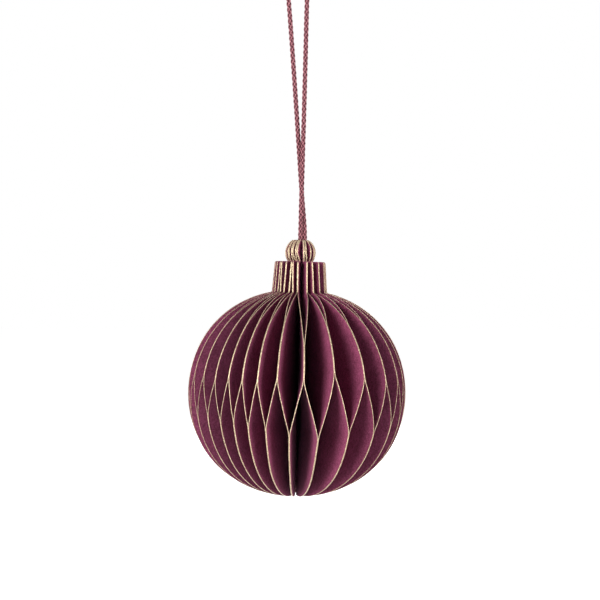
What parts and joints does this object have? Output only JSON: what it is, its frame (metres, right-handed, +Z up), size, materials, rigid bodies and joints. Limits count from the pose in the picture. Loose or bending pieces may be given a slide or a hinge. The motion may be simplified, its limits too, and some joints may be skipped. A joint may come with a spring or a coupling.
{
  "type": "honeycomb paper bauble",
  "caption": "Hanging honeycomb ornament: cut paper leaves glued in turn around a spine, opened into a ball with a fluted cap and finial, on a doubled cord loop.",
  "frame": {"origin": "inside top of the cord's loop, where it hangs", "axes": "+Z up along the hanging line, -Y towards the side that faces a viewer, +X to that viewer's right; the ball's own axis leans 1.5 degrees from Z towards +X"},
  "size_m": [0.0766, 0.0766, 0.1896],
  "materials": {
    "leaf_paper": "matt wine-red card, its cut edges coated with gold glitter",
    "cord": "soft braided cord"
  },
  "bodies": {
    "root": {"leaf_01": "leaf_paper", "leaf_02": "leaf_paper", "leaf_03": "leaf_paper", "leaf_04": "leaf_paper", "leaf_05": "leaf_paper", "leaf_06": "leaf_paper", "leaf_07": "leaf_paper", "leaf_08": "leaf_paper", "leaf_09": "leaf_paper", "leaf_10": "leaf_paper", "leaf_11": "leaf_paper", "leaf_12": "leaf_paper", "leaf_13": "leaf_paper", "leaf_14": "leaf_paper", "leaf_15": "leaf_paper", "leaf_16": "leaf_paper", "leaf_17": "leaf_paper", "leaf_18": "leaf_paper", "leaf_19": "leaf_paper", "leaf_20": "leaf_paper", "leaf_21": "leaf_paper", "leaf_22": "leaf_paper", "leaf_23": "leaf_paper", "leaf_24": "leaf_paper", "leaf_25": "leaf_paper", "leaf_26": "leaf_paper", "leaf_27": "leaf_paper", "leaf_28": "leaf_paper", "leaf_29": "leaf_paper", "leaf_30": "leaf_paper", "leaf_31": "leaf_paper", "leaf_32": "leaf_paper", "leaf_33": "leaf_paper", "leaf_34": "leaf_paper", "leaf_35": "leaf_paper", "leaf_36": "leaf_paper", "leaf_37": "leaf_paper", "leaf_38": "leaf_paper", "leaf_39": "leaf_paper", "leaf_40": "leaf_paper", "leaf_41": "leaf_paper", "leaf_42": "leaf_paper", "leaf_43": "leaf_paper", "leaf_44": "leaf_paper", "leaf_45": "leaf_paper", "leaf_46": "leaf_paper", "leaf_47": "leaf_paper", "leaf_48": "leaf_paper", "leaf_49": "leaf_paper", "leaf_50": "leaf_paper", "leaf_51": "leaf_paper", "leaf_52": "leaf_paper", "leaf_53": "leaf_paper", "leaf_54": "leaf_paper", "leaf_55": "leaf_paper", "leaf_56": "leaf_paper", "hanging_cord": "cord", "cord_knot": "cord"}
  },
  "joints": []
}
